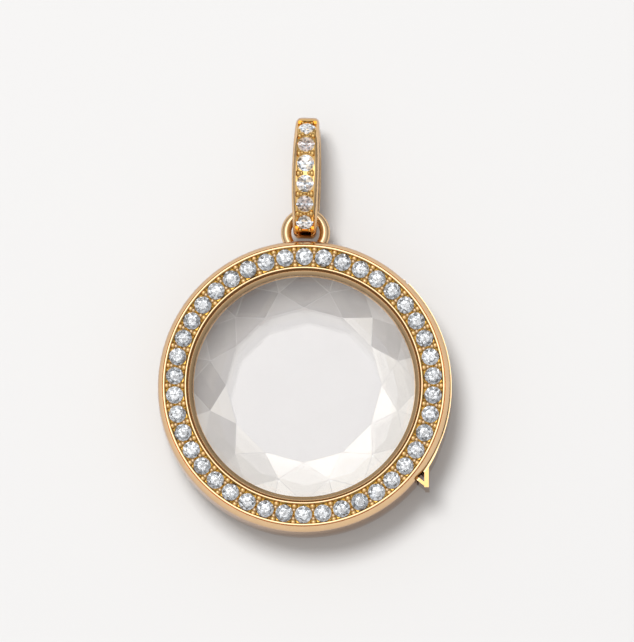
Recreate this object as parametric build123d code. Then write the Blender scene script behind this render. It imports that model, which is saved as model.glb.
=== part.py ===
from build123d import *
import os
from math import atan2, cos, degrees, hypot, pi, radians, sin, sqrt, tan

os.makedirs("parts", exist_ok=True)

# A round floating locket: a hollow gold case with a clear faceted crystal in its front and
# its back, a ring of small round stones set in the front face, a curved side door that
# springs shut on a V tongue, and an oval bail linked through a jump ring on the case.
# It lies on its back. Sizes are millimetres. +Z is out of the front face, +Y towards the bail.
# The model is worked out about the case's axis, then moved so that its origin is the
# centre of its footprint.

# Case: radii about the case's axis, heights from the surface that it lies on
CASE_T = 6.80            # thickness, back rim to front rails
ROW_R = 9.75             # radius through the middles of the ring of stones
CHANNEL_SIDE = 0.07      # channel's width beyond the stones, on each side
CHANNEL_D = 0.33         # depth of the channel below the rails
RAIL_W = 0.13            # width of the thin rail on each side of the channel
SHOULDER_OUT = 0.42      # how far the rounded shoulder stands out beyond the outer rail
SHOULDER_H = 1.20        # height of each rounded shoulder
BELLY_OUT = 0.08         # gentle bulge of the side wall beyond the shoulders
WALL_T = 0.77            # thickness of the side wall, at its top and bottom
LIP_DROP = 0.22          # the lip round the crystal starts this far below the rails
LIP_W = 0.10             # flat top of that lip
LIP_SLOPE_W = 0.42       # width of the lip's slope, down to the crystal
LIP_SLOPE_H = 0.60       # height of that slope
LIP_EDGE_H = 0.14        # thin upright edge of the lip over the crystal
LEDGE_T = 0.22           # thickness of the ledge under the crystal
LEDGE_W = 0.50           # how far the ledge reaches in under the crystal

# Crystals
TABLE_DROP = 0.05        # the crystal's table lies this far inside the plane of the rails
CRYSTAL_T = 1.28         # thickness, table to flat inner face
CRYSTAL_EDGE_T = 0.15    # thickness at the girdle
CRYSTAL_COVER = 0.38     # how far the lip covers the crystal's edge
CRYSTAL_GAP = 0.03       # clearance between a crystal and its seat
CRYSTAL_SIDES = 12       # sides of the table
CRYSTAL_TABLE = 0.668    # radius to the table's corners, as a share of the crystal's
CRYSTAL_STAR = 0.834     # radius to the points of the star facets, as a share of it

# Small round stones
STONE_D = 1.30           # diameter
STONE_SPACE = 0.155      # least gap from stone to stone
STONE_SIDES = 8          # main facets round the crown, and round the pavilion
STONE_TABLE = 0.56       # the table's width, as a share of the diameter
STONE_STAR = 0.76        # width across the star points, as a share of the diameter
STONE_CROWN = 0.150      # crown height, as a share of the diameter
STONE_GIRDLE = 0.030     # girdle height, as a share of the diameter
STONE_PAVILION = 0.430   # pavilion depth, as a share of the diameter
STONE_HALVES = 0.24      # width across the lower halves' tips, as a share of the diameter
STONE_LIFT = 0.03        # height of the girdle above the channel's floor
SEAT_GAP = 0.03          # clearance between a stone and its cut seat

# Beads raised from the metal between the stones
BEAD_R = 0.14            # radius
BEAD_H = 0.22            # height above the channel's floor
BEAD_OFF = 0.35          # distance from the middle of the row, to each side
BEAD_ROOT = 0.10         # how deep a bead is rooted in the floor

# Bail
BAIL_L = 9.20            # length
BAIL_END_R = 2.58        # outer radius of its two ends
BAIL_WALL = 0.90         # thickness of the band
BAIL_W = 2.04            # width at the middle
BAIL_END_W = 1.70        # width at the ends
BAIL_ROUND = 0.40        # rounding of its outer edges
BAIL_INNER_ROUND = 0.12  # rounding of its inner edges
BAIL_SIDE = 0.05         # channel's width beyond the stones, on each side
BAIL_CHANNEL_D = 0.30    # depth of that channel
BAIL_END_GAP = 0.12      # channel's length beyond the last stone, at each end
BAIL_STONES = 6
BAIL_SPACE = 0.24        # gap from stone to stone, along the channel's floor
BAIL_GAP = 0.38          # gap from the case's belly to the bail's lower end
BAIL_LEAN = -1.3         # degrees that the bail leans, to the right as seen from the front

# Jump ring soldered to the top of the case, level with the band that passes through it
RING_WIRE_R = 0.40       # radius of the wire
RING_GAP = 0.10          # clearance round the bail's lower end
RING_ROOT = 0.45         # how deep the ring is let into the wall

# Side door. Angles are degrees about the case's axis, from +X towards +Y
HINGE_AT = 47.0          # direction of the hinge
DOOR_END = -35.5         # direction of the door's free end
DOOR_RIM = 1.30          # height of the rims in front of the door and behind it
DOOR_GAP = 0.05          # clearance above, below and behind it
DOOR_END_GAP = 0.08      # clearance at its free end
PIN_R = 0.21             # radius of the hinge pin
PIN_HOLD = 0.45          # length of pin held in each rim
PIN_GAP = 0.03           # running clearance of the door on the pin
PIN_FIT = 0.01           # clearance of the pin in the rims
BARREL_WALL = 0.22       # thickness of the hinge barrel round the pin
BARREL_GAP = 0.05        # clearance round the barrel
RELIEF = 41.0            # half angle, in degrees, of the groove cut outside the barrel
FLARE_AT = -19.0         # direction where the door's outer face leaves the round
FLARE_OUT = 0.08         # how far the flare stands out beyond the belly
FLARE_ROOT = 0.20        # how deep the flare is rooted in the door

# V tongue on the door's free end
TONGUE_T = 0.33          # thickness of the strip
TONGUE_L = 1.13          # length of the outer leaf beyond the door
TONGUE_STAND = 0.02      # gap between the outer leaf and the wall, where they part
LEAF_T = 0.24            # thickness of the folded-back inner leaf
LEAF_HEADING = 142.0     # degrees, the way the inner leaf points
LEAF_L = 0.97            # length of the inner leaf, from the fold
LEAF_RISE = 0.12         # height of the fold's middle above the tongue's tip
NOTCH_GAP = 0.06         # clearance round the inner leaf in its notch
NOTCH_SWING = 4.0        # degrees of the door's swing that the notch leaves room for

# Worked out from the sizes above
MID_Z = CASE_T / 2
STONE_R = STONE_D / 2
CHANNEL_OUT_R = ROW_R + STONE_R + CHANNEL_SIDE
CHANNEL_IN_R = ROW_R - STONE_R - CHANNEL_SIDE
FACE_R = CHANNEL_OUT_R + RAIL_W
INNER_RAIL_R = CHANNEL_IN_R - RAIL_W
SHOULDER_R = FACE_R + SHOULDER_OUT
BELLY_R = SHOULDER_R + BELLY_OUT
WALL_IN_R = SHOULDER_R - WALL_T
FLOOR_Z = CASE_T - CHANNEL_D
LIP_R = INNER_RAIL_R - LIP_W
GLASS_R = LIP_R - LIP_SLOPE_W
CRYSTAL_R = GLASS_R + CRYSTAL_COVER
CRYSTAL_Z = CASE_T - TABLE_DROP - CRYSTAL_T
ROW_COUNT = int(2 * pi * ROW_R / (STONE_D + STONE_SPACE))
BAIL_PITCH = STONE_D + BAIL_SPACE
BAIL_BASE = BELLY_R + BAIL_GAP
RING_Y = BAIL_BASE + BAIL_WALL / 2
RING_R = hypot(BAIL_END_W / 2, BAIL_WALL / 2) + RING_GAP + RING_WIRE_R
DOOR_H = CASE_T - 2 * DOOR_RIM
BARREL_R = PIN_R + PIN_GAP + BARREL_WALL
PIN_AT_R = BELLY_R - BELLY_OUT / 2 - BARREL_R
TONGUE_X = BELLY_R * cos(radians(DOOR_END)) + TONGUE_STAND
TONGUE_Y = BELLY_R * sin(radians(DOOR_END))


def polar(radius, angle):
    """Point at a radius and an angle in degrees about the case's axis."""
    return radius * cos(radians(angle)), radius * sin(radians(angle))


def sector(r_in, r_out, start, end, low, high):
    """Slab between two radii, two angles and two heights."""
    middle = (start + end) / 2
    outline = [
        Line(polar(r_in, start), polar(r_out, start)),
        ThreePointArc(polar(r_out, start), polar(r_out, middle), polar(r_out, end)),
        Line(polar(r_out, end), polar(r_in, end)),
        ThreePointArc(polar(r_in, end), polar(r_in, middle), polar(r_in, start)),
    ]
    return Pos(0, 0, low) * extrude(make_face(outline), high - low)


def facet(azimuth, radius, height, slope, side):
    """Plane of one facet. It faces out on its azimuth and up (side 1) or down (side -1)."""
    lean = (sin(slope) * cos(azimuth), sin(slope) * sin(azimuth), side * cos(slope))
    point = (radius * cos(azimuth), radius * sin(azimuth), height)
    return Plane(origin=point, z_dir=lean)


def crown_facets(sides, girdle_r, star_r, table_r, base, height):
    """Main, star and upper girdle facets of a crown that stands on its girdle."""
    step = 2 * pi / sides
    main = atan2(height, girdle_r - table_r)
    star_drop = tan(main) * (star_r * cos(step / 2) - table_r)
    star = atan2(star_drop, star_r - table_r * cos(step / 2))
    upper = atan2(height - star_drop, (girdle_r - star_r) * cos(step / 4))
    planes = []
    for k in range(sides):
        turn = k * step
        planes.append(facet(turn, girdle_r, base, main, 1))
        planes.append(facet(turn + step / 2, star_r, base + height - star_drop, star, 1))
        for half in (-1, 1):
            planes.append(facet(turn + half * step / 4, girdle_r * cos(step / 4), base, upper, 1))
    return planes


def pavilion_facets(sides, girdle_r, half_r, base, depth):
    """Main and lower girdle facets of a pavilion that hangs from its girdle."""
    step = 2 * pi / sides
    main = atan2(depth, girdle_r)
    half_drop = depth - half_r * cos(step / 2) * depth / girdle_r
    lower = atan2(half_drop, (girdle_r - half_r) * cos(step / 4))
    planes = []
    for k in range(sides):
        turn = k * step
        planes.append(facet(turn, girdle_r, base, main, -1))
        for half in (-1, 1):
            planes.append(facet(turn + half * step / 4, girdle_r * cos(step / 4), base, lower, -1))
    return planes


def cut_gem(blank, planes):
    """The blank, with all that lies outside each facet plane cut away."""
    for plane in planes:
        blank = split(blank, bisect_by=plane, keep=Keep.BOTTOM)
    return blank


def brilliant():
    """A small round stone: its girdle's lower edge at the origin, its table upwards."""
    crown = STONE_D * STONE_CROWN
    girdle = STONE_D * STONE_GIRDLE
    pavilion = STONE_D * STONE_PAVILION
    girdle_outline = RegularPolygon(STONE_R, 2 * STONE_SIDES)
    blank = extrude(girdle_outline, crown + girdle) + extrude(girdle_outline, -pavilion)
    planes = crown_facets(
        STONE_SIDES, STONE_R, STONE_R * STONE_STAR, STONE_R * STONE_TABLE, girdle, crown)
    planes += pavilion_facets(STONE_SIDES, STONE_R, STONE_R * STONE_HALVES, 0, pavilion)
    return cut_gem(blank, planes)


def seat():
    """Cutter for one stone's seat, in a channel floor at the origin."""
    depth = STONE_D * STONE_PAVILION + SEAT_GAP
    side = (Align.CENTER, Align.CENTER, Align.MAX)
    return Pos(0, 0, STONE_LIFT) * Cone(SEAT_GAP, STONE_R + SEAT_GAP, depth, align=side)


def bead():
    """A bead of metal, rounded on top, rooted below a channel floor at the origin."""
    stem_h = BEAD_ROOT + BEAD_H - BEAD_R
    stem = Cylinder(BEAD_R, stem_h, align=(Align.CENTER, Align.CENTER, Align.MIN))
    return Pos(0, 0, -BEAD_ROOT) * stem + Pos(0, 0, BEAD_H - BEAD_R) * Sphere(BEAD_R)


def crystal():
    """Clear crystal: flat inner face at the origin, faceted crown with its table upwards."""
    blank = extrude(RegularPolygon(CRYSTAL_R, 2 * CRYSTAL_SIDES), CRYSTAL_T)
    planes = crown_facets(
        CRYSTAL_SIDES, CRYSTAL_R, CRYSTAL_R * CRYSTAL_STAR, CRYSTAL_R * CRYSTAL_TABLE,
        CRYSTAL_EDGE_T, CRYSTAL_T - CRYSTAL_EDGE_T)
    return cut_gem(blank, planes)


def outer_wall():
    """Outline of the case's rounded outside, from its back rim up to its front face."""
    shoulder_top = CASE_T - SHOULDER_H
    return [
        TangentArc((SHOULDER_R, SHOULDER_H), (FACE_R, 0), tangent=(0, -1)),
        ThreePointArc((SHOULDER_R, SHOULDER_H), (BELLY_R, MID_Z), (SHOULDER_R, shoulder_top)),
        TangentArc((SHOULDER_R, shoulder_top), (FACE_R, CASE_T), tangent=(0, 1)),
    ]


def turned(inside):
    """Solid turned about the case's axis, between its outside and a row of points."""
    return revolve(Plane.XZ * make_face(outer_wall() + [Polyline(inside)]), Axis.Z)


def seat_points():
    """Outline of the front crystal's lip, seat and ledge, from the inner rail to the wall."""
    lip_z = CASE_T - LIP_DROP
    edge_z = lip_z - LIP_SLOPE_H
    under_z = CRYSTAL_Z + CRYSTAL_EDGE_T + CRYSTAL_GAP
    seat_r = CRYSTAL_R + CRYSTAL_GAP
    seat_z = CRYSTAL_Z - CRYSTAL_GAP
    ledge_z = seat_z - LEDGE_T
    return [
        (INNER_RAIL_R, CASE_T),
        (INNER_RAIL_R, lip_z),
        (LIP_R, lip_z),
        (GLASS_R, edge_z),
        (GLASS_R, edge_z - LIP_EDGE_H),
        (seat_r, under_z),
        (seat_r, seat_z),
        (CRYSTAL_R - LEDGE_W, seat_z),
        (CRYSTAL_R - LEDGE_W, ledge_z),
        (WALL_IN_R, ledge_z),
    ]


def case_ring():
    """The round frame: channel and crystal seat in front, the same seat behind."""
    channel = [
        (FACE_R, CASE_T),
        (CHANNEL_OUT_R, CASE_T),
        (CHANNEL_OUT_R, FLOOR_Z),
        (CHANNEL_IN_R, FLOOR_Z),
        (CHANNEL_IN_R, CASE_T),
    ]
    front = seat_points()
    back = [(r, CASE_T - z) for r, z in reversed(front)]
    return turned(channel + front + back + [(FACE_R, 0)])


def row_places(offset, height, shift):
    """Places round the row of stones, the first at the top plus a share of the spacing."""
    step = 360 / ROW_COUNT
    return [
        Rot(0, 0, 90 + (k + shift) * step) * Pos(ROW_R + offset, 0, height)
        for k in range(ROW_COUNT)
    ]


def jump_ring():
    """The ring soldered to the top of the wall, let into it but not through it."""
    ring = Pos(0, RING_Y, MID_Z) * Torus(RING_R, RING_WIRE_R)
    return ring - Cylinder(BELLY_R - RING_ROOT, 2 * CASE_T)


def pin_place(height):
    """Place on the hinge pin's axis, at a height."""
    return Pos(*polar(PIN_AT_R, HINGE_AT), height)


def relief():
    """Cutter for the groove outside the hinge barrel, so that the door can turn."""
    reach = BARREL_R + SHOULDER_OUT
    half_w = reach * tan(radians(RELIEF))
    groove = make_face(Polyline((0, 0), (reach, -half_w), (reach, half_w), (0, 0)))
    height = DOOR_H + 2 * DOOR_GAP
    return pin_place(MID_Z - height / 2) * Rot(0, 0, HINGE_AT) * extrude(groove, height)


def doorway():
    """Cutter for the doorway: its opening, the hinge's hollow and the groove outside it."""
    height = DOOR_H + 2 * DOOR_GAP
    end = DOOR_END - degrees(DOOR_END_GAP / BELLY_R)
    opening = sector(
        WALL_IN_R - BARREL_R, BELLY_R + SHOULDER_OUT, end, HINGE_AT,
        MID_Z - height / 2, MID_Z + height / 2)
    hollow = pin_place(MID_Z) * Cylinder(BARREL_R + BARREL_GAP, height)
    return opening + hollow + relief()


def leaf_plan(gap):
    """Plan of the folded-back leaf, from the fold inwards, with a gap round it."""
    fold = Pos(TONGUE_X + TONGUE_T / 2, TONGUE_Y - TONGUE_L + LEAF_RISE)
    strip = Rectangle(LEAF_L + gap, LEAF_T + 2 * gap, align=(Align.MIN, Align.CENTER))
    return fold * Rot(0, 0, LEAF_HEADING) * strip


def notch():
    """Cutter for the leaf's notch in the wall, widened the way that the leaf swings out."""
    shut = leaf_plan(NOTCH_GAP)
    hinge = pin_place(0)
    ajar = hinge * Rot(0, 0, NOTCH_SWING) * hinge.inverse() * shut
    height = DOOR_H + 2 * NOTCH_GAP
    return Pos(0, 0, MID_Z - height / 2) * extrude(make_hull(shut.edges() + ajar.edges()), height)


def case():
    """The whole soldered case."""
    pin_hole = pin_place(MID_Z) * Cylinder(PIN_R + PIN_FIT, DOOR_H + 2 * (PIN_HOLD + PIN_FIT))
    ring = case_ring() + jump_ring()
    ring -= [doorway(), notch(), pin_hole]
    ring -= [place * seat() for place in row_places(0, FLOOR_Z, 0)]
    beads = []
    for offset in (-BEAD_OFF, BEAD_OFF):
        beads += [place * bead() for place in row_places(offset, FLOOR_Z, 1 / 2)]
    return ring + beads


def tongue_plan():
    """Plan of the V tongue: the flare of the door's end, the outer leaf and the inner one."""
    out_x = TONGUE_X + TONGUE_T
    out_r = BELLY_R + FLARE_OUT
    bend_y = -sqrt(out_r ** 2 - out_x ** 2)
    halfway = (FLARE_AT + degrees(atan2(bend_y, out_x))) / 2
    tip_y = TONGUE_Y - TONGUE_L
    outline = [
        Line(polar(BELLY_R - FLARE_ROOT, DOOR_END), polar(BELLY_R - FLARE_ROOT, FLARE_AT)),
        Line(polar(BELLY_R - FLARE_ROOT, FLARE_AT), polar(SHOULDER_R, FLARE_AT)),
        ThreePointArc(polar(SHOULDER_R, FLARE_AT), polar(out_r, halfway), (out_x, bend_y)),
        Polyline(
            (out_x, bend_y), (out_x, tip_y), (TONGUE_X, tip_y), (TONGUE_X, TONGUE_Y),
            polar(BELLY_R - FLARE_ROOT, DOOR_END)),
    ]
    return make_face(outline) + leaf_plan(0)


def gate():
    """The side door: a curved strip with a hinge barrel and a V tongue on its free end."""
    low = MID_Z - DOOR_H / 2
    strip = sector(
        WALL_IN_R + DOOR_GAP, BELLY_R + SHOULDER_OUT, DOOR_END, HINGE_AT, low, low + DOOR_H)
    strip &= turned([(FACE_R, CASE_T), (0, CASE_T), (0, 0), (FACE_R, 0)])
    strip -= relief()
    barrel = pin_place(MID_Z) * Cylinder(BARREL_R, DOOR_H)
    strip += [Pos(0, 0, low) * extrude(tongue_plan(), DOOR_H), barrel]
    return strip - pin_place(MID_Z) * Cylinder(PIN_R + PIN_GAP, DOOR_H)


def bail_curve(inset):
    """Radius of the bail's front arc, how deep its centre is sunk, and the end arcs' offset."""
    half_d = CASE_T / 2 - inset
    end_r = BAIL_END_R - inset
    end_y = BAIL_L / 2 - BAIL_END_R
    front_r = (end_y ** 2 + half_d ** 2 - end_r ** 2) / (2 * (half_d - end_r))
    return front_r, front_r - half_d, end_y


def bail_oval(inset, width):
    """Slab across the bail, with the bail's side outline drawn inside its outer face."""
    half_l = BAIL_L / 2 - inset
    half_d = CASE_T / 2 - inset
    front_r, sunk, end_y = bail_curve(inset)
    reach = front_r / (front_r - BAIL_END_R + inset)
    join_y = end_y * reach
    join_z = sunk * reach - sunk
    outline = make_face([
        ThreePointArc((-join_y, join_z), (0, half_d), (join_y, join_z)),
        ThreePointArc((join_y, join_z), (half_l, 0), (join_y, -join_z)),
        ThreePointArc((join_y, -join_z), (0, -half_d), (-join_y, -join_z)),
        ThreePointArc((-join_y, -join_z), (-half_l, 0), (-join_y, join_z)),
    ])
    return extrude(Plane.YZ * outline, width / 2, both=True)


def bail_places(count, height):
    """Places along the bail's channel, evenly spaced, raised from its floor by a height."""
    front_r, sunk, end_y = bail_curve(BAIL_CHANNEL_D)
    end_r = BAIL_END_R - BAIL_CHANNEL_D
    join = atan2(end_y, sunk)
    places = []
    for k in range(count):
        along = (k - (count - 1) / 2) * BAIL_PITCH
        side = 1 if along > 0 else -1
        past = max(abs(along) - front_r * join, 0)
        turn = (abs(along) - past) / front_r + past / end_r
        radius, y, z = (end_r, end_y, 0) if past else (front_r, 0, -sunk)
        y += (radius + height) * sin(turn)
        z += (radius + height) * cos(turn)
        places.append(Pos(0, side * y, z) * Rot(-side * degrees(turn), 0, 0))
    return places


def bail_plan():
    """Slab with the bail's outline as seen from the front: narrower at its ends."""
    half_l = BAIL_L / 2
    half_w = BAIL_W / 2
    end_w = BAIL_END_W / 2
    outline = make_face([
        ThreePointArc((end_w, -half_l), (half_w, 0), (end_w, half_l)),
        Line((end_w, half_l), (-end_w, half_l)),
        ThreePointArc((-end_w, half_l), (-half_w, 0), (-end_w, -half_l)),
        Line((-end_w, -half_l), (end_w, -half_l)),
    ])
    return extrude(outline, CASE_T / 2, both=True)


def bail_band():
    """The oval band with its edges rounded, before its front is set."""
    band = (bail_oval(0, BAIL_W) - bail_oval(BAIL_WALL, BAIL_W)) & bail_plan()
    core = bail_oval(BAIL_WALL / 2, BAIL_W)
    for inside, rounding in ((False, BAIL_ROUND), (True, BAIL_INNER_ROUND)):
        edges = []
        for edge in band.edges():
            middle = edge @ 0.5
            on_side = abs(middle.X) > BAIL_END_W / 4
            if on_side and core.is_inside((0, middle.Y, middle.Z)) == inside:
                edges.append(edge)
        band = fillet(edges, rounding)
    return band


def bail():
    """The bail about its own centre: channel, stone seats and beads in its front face."""
    width = STONE_D + 2 * BAIL_SIDE
    channel = bail_oval(-BAIL_CHANNEL_D, width) - bail_oval(BAIL_CHANNEL_D, BAIL_W)
    last = bail_places(BAIL_STONES, 0)[-1]
    for side in (Rot(0, 0, 0), Rot(0, 0, 180)):
        end = side * last * Pos(0, STONE_R + BAIL_END_GAP, 0) * Rot(-90, 0, 0)
        channel = split(channel, bisect_by=Plane(end), keep=Keep.BOTTOM)
    band = bail_band() - channel
    band -= [place * seat() for place in bail_places(BAIL_STONES, 0)]
    beads = []
    for place in bail_places(BAIL_STONES + 1, 0):
        beads += [place * Pos(x, 0, 0) * bead() for x in (-BEAD_OFF, BEAD_OFF)]
    return band + beads


def build():
    """Every piece by name, in its place about the case's axis."""
    stone = brilliant()
    row = [place * stone for place in row_places(0, FLOOR_Z + STONE_LIFT, 0)]
    pin = Cylinder(PIN_R, DOOR_H + 2 * PIN_HOLD)
    pieces = {
        "case": case(),
        "front_crystal": Pos(0, 0, CRYSTAL_Z) * crystal(),
        "back_crystal": Pos(0, 0, CASE_T - CRYSTAL_Z) * Rot(180, 0, 0) * crystal(),
        "bezel_stones": Compound(row),
        "gate": gate(),
        "hinge_pin": pin_place(MID_Z) * pin,
    }
    ring_top = RING_Y + RING_R
    bail_home = Pos(0, ring_top, MID_Z) * Rot(0, 0, BAIL_LEAN)
    bail_home *= Pos(0, BAIL_BASE + BAIL_L / 2 - ring_top, 0)
    pieces["bail"] = bail_home * bail()
    for k, place in enumerate(bail_places(BAIL_STONES, STONE_LIFT)):
        pieces["bail_stone_%d" % (k + 1)] = bail_home * place * stone
    return pieces


pieces = build()
footprint = Compound(list(pieces.values())).bounding_box()
home = Pos(-footprint.center().X, -footprint.center().Y, -footprint.min.Z)
for name, piece in pieces.items():
    export_step(home * piece, "parts/" + name + ".step")
print("case axis at", home.position, "size", footprint.size)
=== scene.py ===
from math import acos, asin, atan2, cos, pi, radians, sin, sqrt, tan

import bpy
from mathutils import Matrix, Vector


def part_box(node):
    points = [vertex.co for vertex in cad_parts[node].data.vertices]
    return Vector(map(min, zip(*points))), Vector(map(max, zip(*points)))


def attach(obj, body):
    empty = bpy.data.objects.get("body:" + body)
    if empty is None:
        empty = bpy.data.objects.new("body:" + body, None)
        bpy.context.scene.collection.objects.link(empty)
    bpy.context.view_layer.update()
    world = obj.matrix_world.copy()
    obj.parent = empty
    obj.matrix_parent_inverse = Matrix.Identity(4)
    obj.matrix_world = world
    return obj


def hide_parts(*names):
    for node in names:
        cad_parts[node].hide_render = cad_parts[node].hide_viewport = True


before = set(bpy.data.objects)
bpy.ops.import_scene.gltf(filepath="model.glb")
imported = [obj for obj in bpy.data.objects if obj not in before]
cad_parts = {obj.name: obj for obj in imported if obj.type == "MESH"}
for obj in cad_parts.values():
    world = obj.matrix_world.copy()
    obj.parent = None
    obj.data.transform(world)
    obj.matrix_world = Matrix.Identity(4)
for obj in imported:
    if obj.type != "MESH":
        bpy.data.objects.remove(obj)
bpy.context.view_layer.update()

# The camera looks down on the locket as it lies on its back, a little from the foot and the
# right, through a long lens, with no shift and no blur.
VIEW_TURN = radians(14.06)
VIEW_RISE = radians(83.43)
VIEW_AT = Vector((0.887e-3, 0.427e-3, 3.4e-3))
VIEW_FAR = 0.8
LENS = 594
SENSOR_W = 36
back = Vector((sin(VIEW_TURN) * cos(VIEW_RISE), -cos(VIEW_TURN) * cos(VIEW_RISE), sin(VIEW_RISE)))
right = (Vector((1, 0, 0)) - back * back.x).normalized()
up = back.cross(right)
camera_data = bpy.data.cameras.new("camera")
camera_data.lens = LENS
camera_data.sensor_width = SENSOR_W
camera = bpy.data.objects.new("camera", camera_data)
bpy.context.scene.collection.objects.link(camera)
camera.matrix_world = Matrix.LocRotScale(
    VIEW_AT + back * VIEW_FAR, Matrix((right, up, back)).transposed().to_quaternion(), None)
bpy.context.scene.camera = camera
bpy.context.scene.view_settings.view_transform = "Standard"

# The table: a plain sheet of off-white paper, matt, that runs past the picture on all sides.
# It glows very faintly, for the light that a white room throws back onto it.
TABLE_W = 3.0
PAPER = (0.50, 0.497, 0.49, 1)
PAPER_ROUGHNESS = 0.9
PAPER_SHEEN = 0.1
PAPER_GLOW = (1.0, 0.97, 0.99, 1)
PAPER_GLOW_STRENGTH = 0.08
bpy.ops.object.select_all(action="DESELECT")
bpy.ops.mesh.primitive_plane_add(size=TABLE_W)
table = bpy.context.object
table.name = "table"
paper = bpy.data.materials.new("paper")
paper.use_nodes = True
surface = paper.node_tree.nodes["Principled BSDF"]
surface.inputs["Base Color"].default_value = PAPER
surface.inputs["Roughness"].default_value = PAPER_ROUGHNESS
surface.inputs["Specular IOR Level"].default_value = PAPER_SHEEN
surface.inputs["Emission Color"].default_value = PAPER_GLOW
surface.inputs["Emission Strength"].default_value = PAPER_GLOW_STRENGTH
table.data.materials.append(paper)

# The light: a round soft box over the upper left, for the shadows, in a white tent that is
# brightest overhead. The polished pieces don't mirror the box itself. The tent has a soft
# bright spot in its place.
LAMP_W = 0.36
LAMP_FAR = 1.2
LAMP_POWER = 14.4
LAMP_FROM = Vector((-0.155, 0.25, 1.0)).normalized()
TENT = [
    (0.0, (0.30, 0.295, 0.295)),
    (0.3, (0.38, 0.375, 0.375)),
    (0.7, (0.66, 0.655, 0.66)),
    (0.9, (0.90, 0.895, 0.91)),
    (1.0, (0.98, 0.975, 0.99)),
]
TENT_FALL_TO_RIGHT = 0.24
SPOT_EDGE = 0.955
SPOT_FULL = 0.985
SPOT_GLOW = 1.6


class Wire:
    """An output socket of a material's nodes. Arithmetic on wires adds Math nodes."""

    def __init__(self, tree, socket=None):
        self.tree = tree
        self.socket = socket

    def node(self, kind, settings, sockets, output=0):
        """A new node in the same tree: its settings first, then its sockets' values or links."""
        made = self.tree.nodes.new("ShaderNode" + kind)
        stops = settings.pop("stops", None)
        for name, value in settings.items():
            setattr(made, name, value)
        if stops:
            ramp = made.color_ramp.elements
            while len(ramp) < len(stops):
                ramp.new(0.5)
            for element, (place, colour) in zip(ramp, stops):
                element.position = place
                element.color = colour + (1,)
        for name, value in sockets.items():
            if isinstance(value, Wire):
                self.tree.links.new(value.socket, made.inputs[name])
            else:
                made.inputs[name].default_value = value
        return Wire(self.tree, made.outputs[output])

    def maths(self, operation, first, second=0):
        """A Math node on one or two wires or numbers."""
        return self.node("Math", {"operation": operation}, {0: first, 1: second})

    def __add__(self, other):
        return self.maths("ADD", self, other)

    def __radd__(self, other):
        return self.maths("ADD", other, self)

    def __sub__(self, other):
        return self.maths("SUBTRACT", self, other)

    def __rsub__(self, other):
        return self.maths("SUBTRACT", other, self)

    def __mul__(self, other):
        return self.maths("MULTIPLY", self, other)

    def __rmul__(self, other):
        return self.maths("MULTIPLY", other, self)

    def feed(self, shader, name, wire):
        """Link a wire to a shader's socket."""
        self.tree.links.new(wire.socket, shader.inputs[name])


lamp_data = bpy.data.lights.new("soft_box", "AREA")
lamp_data.shape = "DISK"
lamp_data.size = LAMP_W
lamp_data.energy = LAMP_POWER
lamp = bpy.data.objects.new("soft_box", lamp_data)
lamp.visible_glossy = False
lamp.visible_transmission = False
bpy.context.scene.collection.objects.link(lamp)
lamp.location = VIEW_AT + LAMP_FROM * LAMP_FAR
lamp.rotation_euler = LAMP_FROM.to_track_quat("Z", "Y").to_euler()
world = bpy.data.worlds.new("tent")
bpy.context.scene.world = world
world.use_nodes = True
sky = Wire(world.node_tree)
direction = sky.node("TexCoord", {}, {}, "Generated")
height = sky.node("SeparateXYZ", {}, {0: direction}, "Z")
glow = sky.node("ValToRGB", {"stops": TENT}, {0: height})
to_right = sky.maths("MAXIMUM", sky.node("SeparateXYZ", {}, {0: direction}, "X"), 0)
glow = sky.node("VectorMath", {"operation": "SCALE"}, {
    0: glow, "Scale": 1 - TENT_FALL_TO_RIGHT * to_right}, "Vector")
towards_lamp = sky.node("VectorMath", {"operation": "DOT_PRODUCT"}, {
    0: direction, 1: LAMP_FROM}, "Value")
spot = sky.node("MapRange", {"interpolation_type": "SMOOTHSTEP"}, {
    "Value": towards_lamp, "From Min": SPOT_EDGE, "From Max": SPOT_FULL,
    "To Min": 0.0, "To Max": SPOT_GLOW})
glow = sky.node("VectorMath", {"operation": "ADD"}, {0: glow, 1: spot}, "Vector")
sky.feed(world.node_tree.nodes["Background"], "Color", glow)

# The case: a hollow round frame turned from 18 carat gold and polished. In front it has a
# channel between two thin rails, and a sloping lip burnished over the crystal. Behind it has
# the same lip. The doorway and the hollow for the hinge are cut out of its right-hand side.
CASE_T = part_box("case")[1][2]
AXIS = Vector((0, sum(corner[1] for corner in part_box("front_crystal")) / 2, 0))
MID_Z = CASE_T / 2
ROW_R = 9.75e-3
RAIL_OUT_R = 10.60e-3
CHANNEL_OUT_R = 10.47e-3
CHANNEL_IN_R = 8.96e-3
RAIL_IN_R = 8.85e-3
RAIL_ROUND = 0.022e-3
CHANNEL_DEPTH = 0.90e-3
CHANNEL_WALL = 0.27e-3
SEAT_SLOPE_W = 0.20e-3
SEAT_SLOPE_H = 0.156e-3
GROOVE_W = 0.030e-3
GROOVE_DEPTH = 0.13e-3
SHOULDER_R = 11.02e-3
SHOULDER_H = 1.20e-3
SHOULDER_BEND = 1.924e-3
BACK_RIM_R = RAIL_OUT_R + 0.05e-3
BELLY_R = 11.10e-3
WALL_IN_R = 10.25e-3
GUTTER_R = 8.785e-3
GUTTER_DEPTH = 0.47e-3
LIP_R = 8.68e-3
LIP_DROP = 0.32e-3
LIP_ROUND = 0.02e-3
GLASS_R = 8.38e-3
LIP_EDGE = 0.56e-3
LIP_EDGE_ROUND = 0.05e-3
LIP_UNDER = 0.96e-3
SEAT_R = 8.79e-3
SEAT_TOP = 1.15e-3
SEAT_BOTTOM = 1.36e-3
LEDGE_R = 8.26e-3
LEDGE_UNDER = 1.58e-3
TURN_STEPS = 240
BEND_STEPS = 10
BELLY_STEPS = 8
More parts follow.
